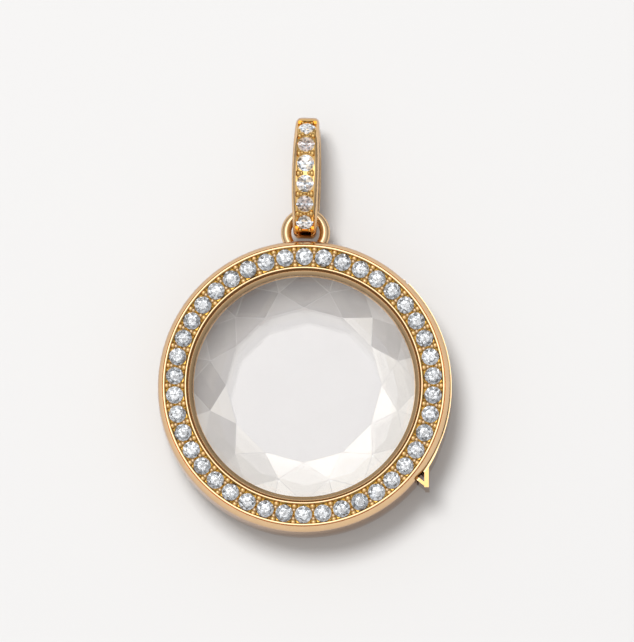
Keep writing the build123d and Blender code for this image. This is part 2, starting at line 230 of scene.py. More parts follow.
ROUND_STEPS = 3
MERGED = 1e-7
SMOOTH_TO = radians(35)


def bow(centre_r, centre_z, radius, first, last, steps):
    """Sharp outline corners along an arc, its angles in radians up from outwards."""
    spread = [first + (last - first) * k / steps for k in range(steps + 1)]
    return [(centre_r + radius * cos(a), centre_z + radius * sin(a), 0) for a in spread]


def rounded(corners):
    """Points of an outline of (radius, height, rounding), with an arc at each rounding."""
    points = []
    for k, (radius, height, rounding) in enumerate(corners):
        corner = Vector((radius, 0, height))
        if not rounding:
            points.append(corner)
            continue
        before, after = corners[k - 1], corners[(k + 1) % len(corners)]
        to_before = (Vector((before[0], 0, before[1])) - corner).normalized()
        to_after = (Vector((after[0], 0, after[1])) - corner).normalized()
        half = to_before.angle(to_after) / 2
        centre = corner + (to_before + to_after).normalized() * rounding / sin(half)
        start = (corner + to_before * rounding / tan(half) - centre).normalized()
        end = (corner + to_after * rounding / tan(half) - centre).normalized()
        points += [
            centre + start.slerp(end, step / ROUND_STEPS) * rounding for step in range(ROUND_STEPS + 1)]
    return points


def drawn(name, points):
    """An object with one face, drawn from corner to corner. It is left in edit mode."""
    bpy.ops.object.select_all(action="DESELECT")
    bpy.ops.mesh.primitive_plane_add(size=CASE_T)
    bpy.context.object.name = name
    bpy.ops.object.mode_set(mode="EDIT")
    bpy.ops.mesh.merge(type="CENTER")
    bpy.ops.transform.translate(value=points[0])
    for start, end in zip(points, points[1:]):
        bpy.ops.mesh.extrude_region_move(TRANSFORM_OT_translate={"value": end - start})
    bpy.ops.mesh.select_all(action="SELECT")
    bpy.ops.mesh.edge_face_add()
    return bpy.context.object


def finished(piece, smooth_to=SMOOTH_TO):
    """Doubles merged, faces outwards, its place in its mesh, smooth up to an angle."""
    bpy.ops.object.mode_set(mode="OBJECT")
    bpy.ops.object.transform_apply()
    bpy.ops.object.mode_set(mode="EDIT")
    bpy.ops.mesh.select_all(action="SELECT")
    bpy.ops.mesh.remove_doubles(threshold=MERGED)
    bpy.ops.mesh.normals_make_consistent(inside=False)
    bpy.ops.object.mode_set(mode="OBJECT")
    bpy.ops.object.shade_smooth_by_angle(angle=smooth_to)
    return piece


def seat_profile(side):
    """Corners from the inner rail to the wall behind the ledge, in front (1) or behind (-1)."""
    corners = [
        (RAIL_IN_R, 0, RAIL_ROUND), (GUTTER_R, GUTTER_DEPTH, 0), (LIP_R, LIP_DROP, LIP_ROUND),
        (GLASS_R, LIP_EDGE, LIP_EDGE_ROUND), (GLASS_R, LIP_UNDER, 0), (SEAT_R, SEAT_TOP, 0),
        (SEAT_R, SEAT_BOTTOM, 0), (LEDGE_R, SEAT_BOTTOM, 0), (LEDGE_R, LEDGE_UNDER, 0),
        (WALL_IN_R, LEDGE_UNDER, 0),
    ]
    if side == 1:
        return [(radius, CASE_T - depth, rounding) for radius, depth, rounding in corners]
    return corners[::-1]


shoulder_r = SHOULDER_R - SHOULDER_BEND
back_end = acos((BACK_RIM_R - shoulder_r) / SHOULDER_BEND)
groove_r = RAIL_OUT_R + GROOVE_W
groove_end = acos((groove_r + GROOVE_W - SHOULDER_R + SHOULDER_BEND) / SHOULDER_BEND)
belly_rise = CASE_T / 2 - SHOULDER_H
belly_drop = BELLY_R - SHOULDER_R
belly_bend = (belly_rise ** 2 + belly_drop ** 2) / (2 * belly_drop)
belly_half = asin(belly_rise / belly_bend)
slope_top = CASE_T - CHANNEL_WALL
outline = bow(shoulder_r, SHOULDER_H, SHOULDER_BEND, -back_end, 0, BEND_STEPS)
outline += bow(
    BELLY_R - belly_bend, MID_Z, belly_bend, -belly_half, belly_half, BELLY_STEPS)[1:-1]
outline += bow(shoulder_r, CASE_T - SHOULDER_H, SHOULDER_BEND, 0, groove_end, BEND_STEPS)
outline += [
    (groove_r, CASE_T - GROOVE_DEPTH, 0), (RAIL_OUT_R, CASE_T, RAIL_ROUND),
    (CHANNEL_OUT_R, CASE_T, RAIL_ROUND), (CHANNEL_OUT_R, slope_top, 0),
    (CHANNEL_OUT_R - SEAT_SLOPE_W, slope_top - SEAT_SLOPE_H, 0),
    (CHANNEL_OUT_R - SEAT_SLOPE_W, CASE_T - CHANNEL_DEPTH, 0),
    (CHANNEL_IN_R + SEAT_SLOPE_W, CASE_T - CHANNEL_DEPTH, 0),
    (CHANNEL_IN_R + SEAT_SLOPE_W, slope_top - SEAT_SLOPE_H, 0),
    (CHANNEL_IN_R, slope_top, 0), (CHANNEL_IN_R, CASE_T, RAIL_ROUND),
]
outline += seat_profile(1) + seat_profile(-1) + [(RAIL_OUT_R, 0, 0)]
case_frame = drawn("case_frame", rounded(outline))
bpy.ops.mesh.delete(type="ONLY_FACE")
bpy.ops.mesh.select_all(action="SELECT")
bpy.ops.mesh.spin(steps=TURN_STEPS, angle=2 * pi, center=(0, 0, 0), axis=(0, 0, 1))
case_frame.location = AXIS
finished(case_frame)

# The doorway is cut through the wall from the hinge to the tongue. Over it the shoulder is
# thinned, so that a fine seam shows. Round the pin is a hollow with room for the door to swing.
PIN_R = 10.60e-3
HINGE_AT = radians(47.0)
PIN_AT = AXIS + Vector((PIN_R * cos(HINGE_AT), PIN_R * sin(HINGE_AT), 0))
DOORWAY_LOW = 1.25e-3
DOORWAY_HIGH = 5.55e-3
DOORWAY_H = DOORWAY_HIGH - DOORWAY_LOW
DOORWAY_IN_R = 9.79e-3
DOORWAY_START = radians(-35.913)
DOORWAY_STEPS = 96
SHOULDER_CUT_R = 10.96e-3
SHOULDER_CUT_Z = 6.3e-3
PAST_WALL_R = 12e-3
HOLLOW_R = 0.51e-3
HOLLOW_SIDES = 64
RELIEF_REACH = 0.88e-3
RELIEF_HALF = radians(41)


def cut_away(piece, cutter):
    """The cutter's space taken out of a piece."""
    difference = piece.modifiers.new("cut", "BOOLEAN")
    difference.object = cutter
    difference.solver = "EXACT"
    bpy.context.view_layer.objects.active = piece
    bpy.ops.object.modifier_apply(modifier=difference.name)
    bpy.data.objects.remove(cutter)


def start_piece(name):
    """The primitive just added gets its name and goes into edit mode."""
    bpy.context.object.name = name
    bpy.ops.object.mode_set(mode="EDIT")
    return bpy.context.object


def on_pin(name, radius, length, sides):
    """A cylinder on the hinge's axis, at the case's mid height."""
    bpy.ops.object.select_all(action="DESELECT")
    bpy.ops.mesh.primitive_cylinder_add(
        vertices=sides, radius=radius, depth=length, location=PIN_AT + Vector((0, 0, MID_Z)))
    return finished(start_piece(name))


def prism(name, place, points, low, high):
    """A closed prism over a plan of (x, y) points, moved and turned by a matrix."""
    made = drawn(name, [place @ Vector((x, y, low)) for x, y in points])
    bpy.ops.mesh.extrude_region_move(TRANSFORM_OT_translate={"value": (0, 0, high - low)})
    return finished(made)


corners = [
    (DOORWAY_IN_R, DOORWAY_LOW), (PAST_WALL_R, DOORWAY_LOW), (PAST_WALL_R, SHOULDER_CUT_Z),
    (SHOULDER_CUT_R, SHOULDER_CUT_Z), (SHOULDER_CUT_R, DOORWAY_HIGH), (DOORWAY_IN_R, DOORWAY_HIGH)]
opening = drawn("opening", [Vector((radius, 0, height)) for radius, height in corners])
bpy.ops.mesh.spin(
    steps=DOORWAY_STEPS, angle=HINGE_AT - DOORWAY_START, center=(0, 0, 0), axis=(0, 0, 1))
opening.location = AXIS
opening.rotation_euler = (0, 0, HINGE_AT)
cut_away(case_frame, finished(opening))
cut_away(case_frame, on_pin("hollow", HOLLOW_R, DOORWAY_H, HOLLOW_SIDES))
hinge_place = Matrix.Translation(PIN_AT) @ Matrix.Rotation(HINGE_AT, 4, "Z")
relief_half_w = RELIEF_REACH * tan(RELIEF_HALF)
relief_plan = [(0, 0), (RELIEF_REACH, -relief_half_w), (RELIEF_REACH, relief_half_w)]
cut_away(case_frame, prism("relief", hinge_place, relief_plan, DOORWAY_LOW, DOORWAY_HIGH))

# The notch in the doorway's lower end takes the tongue's inner leaf, and is wide enough for the
# leaf to swing out: it is the hull of the leaf's room when shut and when a little ajar.
FOLD_AT = AXIS + Vector((9.2216e-3, -7.4558e-3, 0))
LEAF_HEADING = radians(142)
NOTCH_L = 1.03e-3
NOTCH_W = 0.36e-3
NOTCH_SWING = radians(4)
CUT_OVER = 0.01e-3
shut = Matrix.Translation(FOLD_AT) @ Matrix.Rotation(LEAF_HEADING, 4, "Z")
ajar = Matrix.Translation(PIN_AT) @ Matrix.Rotation(NOTCH_SWING, 4, "Z")
ajar = ajar @ Matrix.Translation(-PIN_AT) @ shut
notch_plan = [
    (0, -NOTCH_W / 2), (NOTCH_L, -NOTCH_W / 2), (NOTCH_L, NOTCH_W / 2), (0, NOTCH_W / 2)]
notch = drawn("notch", [
    place @ Vector((x, y, DOORWAY_LOW - CUT_OVER)) for place in (shut, ajar) for x, y in notch_plan])
bpy.ops.mesh.extrude_region_move(TRANSFORM_OT_translate={
    "value": (0, 0, DOORWAY_H + 2 * CUT_OVER)})
bpy.ops.mesh.select_all(action="SELECT")
bpy.ops.mesh.convex_hull()
cut_away(case_frame, finished(notch))


def picked(pieces):
    """Only these objects are selected, and the first is active."""
    bpy.ops.object.select_all(action="DESELECT")
    for piece in pieces:
        piece.select_set(True)
    bpy.context.view_layer.objects.active = pieces[0]


picked([case_frame])
bpy.ops.object.mode_set(mode="EDIT")
finished(case_frame)

# The gold: 18 carat, yellow, with the faint unevenness of a surface polished by hand. Its
# colour is painted deeper in the two set channels, a painted reflection of gold in gold, and
# painted darker in narrow seams and on the door's tongue, as painted shade.
GOLD = [(0.3, (0.80, 0.55, 0.305)), (0.7, (0.85, 0.59, 0.335))]
GOLD_SHEEN = (0.74, 0.69, 0.68, 1)
GOLD_ROUGHNESS = 0.05
CLOUD_SCALE = 900.0
CLOUD_ROUGHNESS = 0.06
GRAIN_SCALE = 9000.0
GRAIN_STRENGTH = 0.15
GRAIN_H = 0.004e-3
CHANNEL_PAINTED_REFLECTION = (0.84, 0.48, 0.10, 1)
DEEP_FROM = 0.10e-3
DEEP_TO = 0.20e-3
BAIL_CHANNEL_PAINTED_REFLECTION = (0.84, 0.52, 0.15, 1)
BAIL_PAINTED_REFLECTION_SHARE = 0.75
BAIL_LEAN = tan(radians(1.3))
BAIL_LEAN_FROM = 8.59e-3
BAIL_CHANNEL_HALF = 0.71e-3
BAIL_LOW = 6.62e-3
BAIL_FRONT_Z = 4.45e-3
SEAM_PAINTED_SHADE = (0.24, 0.155, 0.07, 1)
SEAM_GLOW = (0.055, 0.034, 0.015, 1)
SEAM_IN_SHARE = 0.7
SEAM_IN_AT = 8.77e-3
SEAM_IN_W = 0.15e-3
SEAM_IN_DEPTH = 0.07e-3
SEAM_IN_END = 0.60e-3
SEAM_OUT_AT = 10.985e-3
SEAM_OUT_W = 0.125e-3
SEAM_OUT_Z = 5.38e-3
SEAM_OUT_REACH = 0.22e-3
TONGUE_PAINTED_SHADE = (0.62, 0.39, 0.16, 1)
TONGUE_SHADE_R = 11.13e-3
TONGUE_SHADE_FROM = -0.85
TONGUE_SHADE_TO = -0.45


def on_case(start):
    """Object coordinates, the same from the case's axis, and the distance from that axis."""
    place = start.node("TexCoord", {}, {}, "Object")
    from_axis = start.node("Mapping", {}, {"Vector": place, "Location": -AXIS}, "Vector")
    flat = start.node("VectorMath", {"operation": "MULTIPLY"}, {0: from_axis, 1: (1, 1, 0)}, "Vector")
    return place, from_axis, start.node("VectorMath", {"operation": "LENGTH"}, {0: flat}, "Value")


def near(wire, middle, reach):
    """1 where a wire's value is within reach of a middle, and 0 elsewhere."""
    return wire.maths("LESS_THAN", wire.maths("ABSOLUTE", wire - middle), reach)


def laid_over(under, colour, share):
    """A colour laid over another, as far as the share says."""
    return share.node("Mix", {"data_type": "RGBA", "blend_type": "MIX"}, {
        "Factor": share, 6: under, 7: colour}, 2)


gold = bpy.data.materials.new("gold")
gold.use_nodes = True
metal = Wire(gold.node_tree)
surface = gold.node_tree.nodes["Principled BSDF"]
surface.inputs["Metallic"].default_value = 1.0
surface.inputs["Specular Tint"].default_value = GOLD_SHEEN
place, from_axis, radius = on_case(metal)
cloud = metal.node("TexNoise", {}, {"Vector": place, "Scale": CLOUD_SCALE, "Detail": 3.0}, "Fac")
grain = metal.node("TexNoise", {}, {"Vector": place, "Scale": GRAIN_SCALE, "Detail": 2.0}, "Fac")
tone = metal.node("ValToRGB", {"stops": GOLD}, {0: cloud}, "Color")
sideways = metal.node("SeparateXYZ", {}, {0: place}, "X")
upwards = metal.node("SeparateXYZ", {}, {0: place}, "Y")
height = metal.node("SeparateXYZ", {}, {0: place}, "Z")

# The channel below the rails gets a painted reflection: the deeper orange of gold lit by gold.
below = metal.node("MapRange", {}, {
    "Value": height, "From Min": CASE_T - DEEP_FROM, "From Max": CASE_T - DEEP_TO,
    "To Min": 0.0, "To Max": 1.0})
tone = laid_over(tone, CHANNEL_PAINTED_REFLECTION, below * near(radius, ROW_R, ROW_R - CHANNEL_IN_R))
# The bail's channel, which leans a little to the side, gets the same painted reflection of
# gold in gold.
in_bail = near(sideways, (upwards - BAIL_LEAN_FROM) * BAIL_LEAN, BAIL_CHANNEL_HALF)
in_bail = in_bail * metal.maths("GREATER_THAN", upwards, BAIL_LOW)
in_bail = in_bail * metal.maths("GREATER_THAN", height, BAIL_FRONT_Z)
tone = laid_over(tone, BAIL_CHANNEL_PAINTED_REFLECTION, in_bail * BAIL_PAINTED_REFLECTION_SHARE)
# Painted shade darkens the seams: those between lip and rail, in front and behind, and the one
# over the door.
from_mid = metal.maths("ABSOLUTE", height - MID_Z)
seam = near(radius, SEAM_IN_AT, SEAM_IN_W / 2)
seam = seam * metal.maths("LESS_THAN", from_mid, MID_Z - SEAM_IN_DEPTH)
seam = seam * metal.maths("GREATER_THAN", from_mid, MID_Z - SEAM_IN_END)
turn = metal.maths("ARCTAN2", upwards - AXIS.y, sideways)
over_door = near(radius, SEAM_OUT_AT, SEAM_OUT_W / 2) * near(height, SEAM_OUT_Z, SEAM_OUT_REACH)
over_door = over_door * near(
    turn, (HINGE_AT + DOORWAY_START) / 2, (HINGE_AT - DOORWAY_START) / 2)
tone = laid_over(tone, SEAM_PAINTED_SHADE, seam * SEAM_IN_SHARE + over_door)
# The door's tongue is painted darker than the rest: painted shade, to dim the bright
# surroundings that it mirrors.
tongue_shade = metal.maths("GREATER_THAN", radius, TONGUE_SHADE_R) * metal.maths("LESS_THAN", turn, TONGUE_SHADE_TO)
tongue_shade = tongue_shade * metal.maths("GREATER_THAN", turn, TONGUE_SHADE_FROM)
tone = laid_over(tone, TONGUE_PAINTED_SHADE, tongue_shade)
metal.feed(surface, "Base Color", tone)
# Gold throws a little light onto gold deep in the seams.
metal.feed(surface, "Emission Color", laid_over((0.0, 0.0, 0.0, 1), SEAM_GLOW, seam))
surface.inputs["Emission Strength"].default_value = 1.0
metal.feed(surface, "Roughness", GOLD_ROUGHNESS + cloud * CLOUD_ROUGHNESS)
metal.feed(surface, "Normal", metal.node(
    "Bump", {}, {"Height": grain, "Strength": GRAIN_STRENGTH, "Distance": GRAIN_H}))
case_frame.data.materials.append(gold)
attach(case_frame, "locket")
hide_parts("case")

# The setting: between each two stones a web of metal is left standing in the channel, its
# sides cut to the stones. Two beads are raised from it and pushed over the stones' edges, and
# a larger, lower one is left in the corner at each rail.
ROW_COUNT = 42
ROW_STEP = 2 * pi / ROW_COUNT
WEB_TOP = CASE_T - 0.36e-3
WEB_IN = -0.83e-3
WEB_OUT = 0.76e-3
WEB_W = 1.30e-3
WEB_PIT_R = 0.085e-3
WEB_PIT_DEPTH = 0.22e-3
WEB_PIT_SIDES = 16
SEAT_TIP_R = 0.04e-3
SEAT_TIP_DEPTH = 0.895e-3
SEAT_SLOPE = 1.05
SEAT_H = 0.95e-3
SEAT_SIDES = 40
BEAD_R = 0.165e-3
BEAD_OFF = 0.33e-3
BEAD_TOP = CASE_T - 0.08e-3
CORNER_R = 0.26e-3
CORNER_IN_OFF = 0.62e-3
CORNER_OUT_OFF = 0.58e-3
CORNER_TOP = CASE_T - 0.13e-3
BEAD_FLATTENED = 0.7
BEAD_SIDES = 16
BEAD_RINGS = 10
ROUND_SMOOTH_TO = radians(60)


def trimmed(points_and_normals):
    """In edit mode, cut away all that lies beyond each plane and close the cut."""
    for point, normal in points_and_normals:
        bpy.ops.mesh.select_all(action="SELECT")
        bpy.ops.mesh.bisect(
            plane_co=point, plane_no=normal, use_fill=True, clear_outer=True, threshold=MERGED)


def copied(original, places, name):
    """Gold copies of a piece at each matrix, joined into one that rides with the case."""
    copies = []
    for place in places:
        another = bpy.data.objects.new(name, original.data.copy())
        another.data.transform(place)
        bpy.context.scene.collection.objects.link(another)
        copies.append(another)
    picked(copies)
    bpy.ops.object.join()
    copies[0].name = name
    copies[0].data.materials.append(gold)
    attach(copies[0], "locket")


def row_place(turn):
    """Place on the row of stones, at an angle about the case's axis."""
    return Matrix.Translation(AXIS) @ Matrix.Rotation(turn, 4, "Z") @ Matrix.Translation((ROW_R, 0, 0))


bpy.ops.object.select_all(action="DESELECT")
bpy.ops.mesh.primitive_cube_add(
    size=1, location=((WEB_IN + WEB_OUT) / 2, 0, WEB_TOP - CHANNEL_DEPTH / 2),
    scale=(WEB_OUT - WEB_IN, WEB_W, CHANNEL_DEPTH))
web = finished(start_piece("web"))
bpy.ops.object.select_all(action="DESELECT")
bpy.ops.mesh.primitive_cone_add(
    vertices=WEB_PIT_SIDES, radius1=0, radius2=WEB_PIT_R, depth=WEB_PIT_DEPTH,
    location=(0, 0, WEB_TOP))
cut_away(web, finished(start_piece("pit")))
for side in (-1, 1):
    bpy.ops.object.select_all(action="DESELECT")
    bpy.ops.mesh.primitive_cone_add(
        vertices=SEAT_SIDES, radius1=SEAT_TIP_R, radius2=SEAT_TIP_R + SEAT_H * SEAT_SLOPE,
        depth=SEAT_H, location=(
            ROW_R * cos(ROW_STEP / 2) - ROW_R, side * ROW_R * sin(ROW_STEP / 2),
            CASE_T - SEAT_TIP_DEPTH + SEAT_H / 2))
    cut_away(web, finished(start_piece("seat")))
beads = []
for offset, radius, top in (
        (-CORNER_IN_OFF, CORNER_R, CORNER_TOP), (-BEAD_OFF, BEAD_R, BEAD_TOP),
        (BEAD_OFF, BEAD_R, BEAD_TOP), (CORNER_OUT_OFF, CORNER_R, CORNER_TOP)):
    bpy.ops.object.select_all(action="DESELECT")
    bpy.ops.mesh.primitive_uv_sphere_add(
        segments=BEAD_SIDES, ring_count=BEAD_RINGS, radius=radius, scale=(1, 1, BEAD_FLATTENED),
        location=(offset, 0, top - radius * BEAD_FLATTENED))
    bead = start_piece("bead")
    trimmed([
        (Vector((0, 0, top - radius)), Vector((0, 0, -1))),
        (Vector((WEB_OUT, 0, 0)), Vector((1, 0, 0))), (Vector((WEB_IN, 0, 0)), Vector((-1, 0, 0)))])
    beads.append(finished(bead, ROUND_SMOOTH_TO))
picked([web] + beads)
bpy.ops.object.join()
copied(web, [row_place(pi / 2 + (k + 0.5) * ROW_STEP) for k in range(ROW_COUNT)], "setting")

# The bail: a gold band bent to an oval loop, soldered shut, and hung in the jump ring. Its
# front is set with six stones in the same way as the case, with webs and beads between them.
BAIL_STONES = 6
BAIL_WEB_NARROWED = 0.85
BAIL_WEB_LIFT = 0.05e-3
row_stone_z = sum(corner[2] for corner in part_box("bezel_stones")) / 2
middles = []
for k in range(1, BAIL_STONES + 1):
    low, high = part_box("bail_stone_%d" % k)
    middles.append((Vector(low) + Vector(high)) / 2)
bail_places = []
for here, there in zip(middles, middles[1:]):
    step = there - here
    bail_places.append(
        Matrix.Translation((here + there) / 2) @ Matrix.Rotation(atan2(step.z, step.y), 4, "X")
        @ Matrix.Diagonal((BAIL_WEB_NARROWED, 1, 1, 1))
        @ Matrix.Translation((0, 0, BAIL_WEB_LIFT - row_stone_z)))
copied(web, bail_places, "bail_setting")
bpy.data.objects.remove(web)
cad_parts["bail"].data.materials[0] = gold

# The jump ring: a plain round gold wire bent to a ring, with its ends soldered to the top of
# the case's wall.
RING_OFF = 11.93e-3
RING_R = 1.462e-3
RING_WIRE_R = 0.40e-3
RING_ROOT = 10.66e-3
RING_STEPS = 96
RING_SIDES = 32
bpy.ops.object.select_all(action="DESELECT")
bpy.ops.mesh.primitive_torus_add(
    major_radius=RING_R, minor_radius=RING_WIRE_R, major_segments=RING_STEPS,
    minor_segments=RING_SIDES, location=AXIS + Vector((0, RING_OFF, MID_Z)))
jump_ring = start_piece("jump_ring")
trimmed([(AXIS + Vector((0, RING_ROOT, 0)), Vector((0, -1, 0)))])
finished(jump_ring, ROUND_SMOOTH_TO)
jump_ring.data.materials.append(gold)
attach(jump_ring, "locket")

# The crystals: two equal lenses of clear rock crystal, flat inside and cut outside with a
# twelve-sided table, its star facets, main facets and girdle facets. The rear one is seen
# through the front one. Each is held by the lip burnished over its edge.
CRYSTAL_R = 8.76e-3
CRYSTAL_T = 1.28e-3
CRYSTAL_EDGE_T = 0.15e-3
CRYSTAL_SIDES = 12
CRYSTAL_TABLE_R = CRYSTAL_R * 0.668
CRYSTAL_STAR_R = CRYSTAL_R * 0.834
CRYSTAL_BROKEN = 0.016e-3
CRYSTAL_IOR = 1.544
CLEAR = (0.995, 0.992, 0.99, 1)
TABLE_PASSES = (0.87, 0.866, 0.865, 1)
FRONT_CROWN_PASSES = (0.95, 0.94, 0.935, 1)
BACK_CROWN_PASSES = (0.95, 0.95, 0.95, 1)
WORN_ROUGHNESS = 0.25
# A facet's tone, from 0 to 1, stands in for the light and dark that it mirrors. It is palest at
# the lower right, stars are lighter than girdle facets, and mains are darker.
PALE_SIDE = radians(-64)
TONE_MIDDLE = 0.54
TONE_SWING = 0.45
TONE_RIPPLES = 7
TONE_RIPPLE = 0.13
STAR_LIGHTER = 0.22
MAIN_DARKER = 0.12
PALE_CALM = 0.6
BACK_TONE = 0.6
STAR_Z = cos(radians(18.5))
MAIN_Z = cos(radians(23))
CROWN_Z_FROM = 0.1
CROWN_Z_TO = 0.99
# The facets' tints and glows follow that tone: painted shade on the darker facets, and a painted
# highlight that glows on the palest front facets.
FACET_TINTS = [
    (0.0, (0.56, 0.535, 0.52)), (0.5, (0.90, 0.885, 0.875)), (0.75, (1.0, 0.985, 0.95))]
FACET_GLOWS = [(0.40, (0.0, 0.0, 0.0)), (0.62, (0.20, 0.195, 0.18)), (0.95, (1.0, 0.97, 0.91))]
FRONT_GLOW = 0.30


def clear(name, tint, ior, passed):
    """A clear polished material, with the share of light that goes straight through."""
    made = bpy.data.materials.new(name)
    made.use_nodes = True
    tree = made.node_tree
    glass = tree.nodes["Principled BSDF"]
    glass.inputs["Base Color"].default_value = tint
    glass.inputs["Roughness"].default_value = 0.0
    glass.inputs["IOR"].default_value = ior
    glass.inputs["Transmission Weight"].default_value = 1.0
    start = Wire(tree)
    mixed = Wire(tree, glass.outputs["BSDF"])
    see_through = start.node("BsdfTransparent", {}, {"Color": passed})
    for kind in ("Is Shadow Ray", "Is Diffuse Ray"):
        passing = start.node("LightPath", {}, {}, kind)
        mixed = start.node("MixShader", {}, {0: passing, 1: mixed, 2: see_through})
    start.feed(tree.nodes["Material Output"], "Surface", mixed)
    return made


def facet(turn, radius, height, slope):
    """Point and outward normal of one upper facet's plane."""
    point = Vector((radius * cos(turn), radius * sin(turn), height))
    return point, Vector((sin(slope) * cos(turn), sin(slope) * sin(turn), cos(slope)))


def crown(sides, girdle_r, star_r, table_r, base, rise):
    """Main, star and upper girdle facets of a crown."""
    step = 2 * pi / sides
    main = atan2(rise, girdle_r - table_r)
    star_drop = tan(main) * (star_r * cos(step / 2) - table_r)
    star = atan2(star_drop, star_r - table_r * cos(step / 2))
    upper = atan2(rise - star_drop, (girdle_r - star_r) * cos(step / 4))
    planes = []
    for k in range(sides):
        planes.append(facet(k * step, girdle_r, base, main))
        planes.append(facet((k + 0.5) * step, star_r, base + rise - star_drop, star))
        for half in (-0.25, 0.25):
            planes.append(facet((k + half) * step, girdle_r * cos(step / 4), base, upper))
    return planes


def mirrored_tone(turn, rise):
    """The tone of a facet whose normal has this turn about the axis and this height."""
    pale = cos(turn - PALE_SIDE)
    change = TONE_RIPPLE * sin(TONE_RIPPLES * turn + 2)
    if rise > STAR_Z:
        change += STAR_LIGHTER
    elif rise > MAIN_Z:
        change -= MAIN_DARKER
    return TONE_MIDDLE + TONE_SWING * pale + change * (1 - PALE_CALM * max(0, pale))


polished = clear("rock_crystal", CLEAR, CRYSTAL_IOR, TABLE_PASSES)
front_crown = clear("rock_crystal_front_crown", CLEAR, CRYSTAL_IOR, FRONT_CROWN_PASSES)
back_crown = clear("rock_crystal_back_crown", CLEAR, CRYSTAL_IOR, BACK_CROWN_PASSES)
worn = clear("worn_facet_edges", CLEAR, CRYSTAL_IOR, CLEAR)
worn.node_tree.nodes["Principled BSDF"].inputs["Roughness"].default_value = WORN_ROUGHNESS
for made, glow in ((front_crown, FRONT_GLOW), (back_crown, 0.0)):
    crown_cut = Wire(made.node_tree)
    surface = made.node_tree.nodes["Principled BSDF"]
    facet_tone = crown_cut.node("Attribute", {"attribute_name": "facet_tone"}, {}, "Fac")
    crown_cut.feed(surface, "Base Color", crown_cut.node(
        "ValToRGB", {"stops": FACET_TINTS}, {0: facet_tone}, "Color"))
    crown_cut.feed(surface, "Emission Color", crown_cut.node(
        "ValToRGB", {"stops": FACET_GLOWS}, {0: facet_tone}, "Color"))
    surface.inputs["Emission Strength"].default_value = glow
for label, turned_over, crown_glass in (
        ("front_crystal", 0, front_crown), ("back_crystal", pi, back_crown)):
    bpy.ops.object.select_all(action="DESELECT")
    bpy.ops.mesh.primitive_cylinder_add(
        vertices=2 * CRYSTAL_SIDES, radius=CRYSTAL_R, depth=CRYSTAL_T,
        location=(0, 0, CRYSTAL_T / 2), rotation=(0, 0, pi / 2))
    bpy.ops.object.transform_apply()
    lens = start_piece(label + "_cut")
    trimmed(crown(
        CRYSTAL_SIDES, CRYSTAL_R, CRYSTAL_STAR_R, CRYSTAL_TABLE_R,
        CRYSTAL_EDGE_T, CRYSTAL_T - CRYSTAL_EDGE_T))
    finished(lens, 0)
    glasses = [polished, worn, crown_glass]
    for made in glasses:
        lens.data.materials.append(made)
    for face in lens.data.polygons:
        if CROWN_Z_FROM < face.normal.z < CROWN_Z_TO:
            face.material_index = glasses.index(crown_glass)
    edges = lens.modifiers.new("broken_edges", "BEVEL")
    edges.width = CRYSTAL_BROKEN
    edges.segments = 1
    edges.limit_method = "ANGLE"
    edges.angle_limit = radians(2)
    edges.material = glasses.index(worn)
    bpy.ops.object.modifier_apply(modifier=edges.name)
    tones = lens.data.attributes.new("facet_tone", "FLOAT", "FACE")
    for face in lens.data.polygons:
        turn = atan2(face.normal.y * (-1 if turned_over else 1), face.normal.x)
        tone = mirrored_tone(turn, face.normal.z)
        tones.data[face.index].value = BACK_TONE + (1 - BACK_TONE) * tone if turned_over else tone
    lens.location = AXIS + Vector((0, 0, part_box(label)[1 if turned_over else 0][2]))
    lens.rotation_euler = (turned_over, 0, 0)
    bpy.ops.object.transform_apply()
    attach(lens, "locket")
    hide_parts(label)

# The hinge pin: a plain gold wire through the door's barrel, held at both ends in the rims.
# It can't be seen while the door is shut.
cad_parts["hinge_pin"].data.materials[0] = gold

# The side door: a strip of springy gold bent to the case's curve. One end is rolled to the
# hinge barrel. The other is flared outwards and folded back to a V tongue, whose inner leaf
# snaps into the notch in the wall. A fine groove runs along its top edge.
DOOR_LOW, DOOR_HIGH = (corner[2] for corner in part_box("gate"))
DOOR_IN_R = 10.30e-3
DOOR_OUT_R = BELLY_R
DOOR_END = radians(-35.5)
DOOR_GROOVE_OUT_R = 11.05e-3
DOOR_GROOVE_IN_R = 10.92e-3
DOOR_GROOVE_DEPTH = 0.30e-3
BARREL_R = 0.46e-3
BORE_R = 0.24e-3
BARREL_SIDES = 48
TONGUE_T = 0.33e-3
TONGUE_L = 1.13e-3
TONGUE_STAND = 0.02e-3
FLARE_AT = radians(-19)
FLARE_OUT = 0.08e-3
FLARE_ROOT = 0.20e-3
FLARE_STEPS = 12
LEAF_L = 0.97e-3
LEAF_T = 0.24e-3


def joined_to(piece, other):
    """Another piece's space added to a piece."""
    union = piece.modifiers.new("union", "BOOLEAN")
    union.operation = "UNION"
    union.object = other
    union.solver = "EXACT"
    bpy.context.view_layer.objects.active = piece
    bpy.ops.object.modifier_apply(modifier=union.name)
    bpy.data.objects.remove(other)


groove_floor = DOOR_HIGH - DOOR_GROOVE_DEPTH
gate = drawn("gate_door", [
    Vector((radius, 0, height)) for radius, height in (
        (DOOR_IN_R, DOOR_LOW), (DOOR_OUT_R, DOOR_LOW), (DOOR_OUT_R, DOOR_HIGH),
        (DOOR_GROOVE_OUT_R, DOOR_HIGH), (DOOR_GROOVE_OUT_R, groove_floor),
        (DOOR_GROOVE_IN_R, groove_floor), (DOOR_GROOVE_IN_R, DOOR_HIGH), (DOOR_IN_R, DOOR_HIGH))])
bpy.ops.mesh.spin(
    steps=DOORWAY_STEPS, angle=HINGE_AT - DOOR_END, center=(0, 0, 0), axis=(0, 0, 1))
gate.location = AXIS
gate.rotation_euler = (0, 0, HINGE_AT)
finished(gate)
cut_away(gate, prism(
    "relief", hinge_place, relief_plan, DOOR_LOW - CUT_OVER, DOOR_HIGH + CUT_OVER))
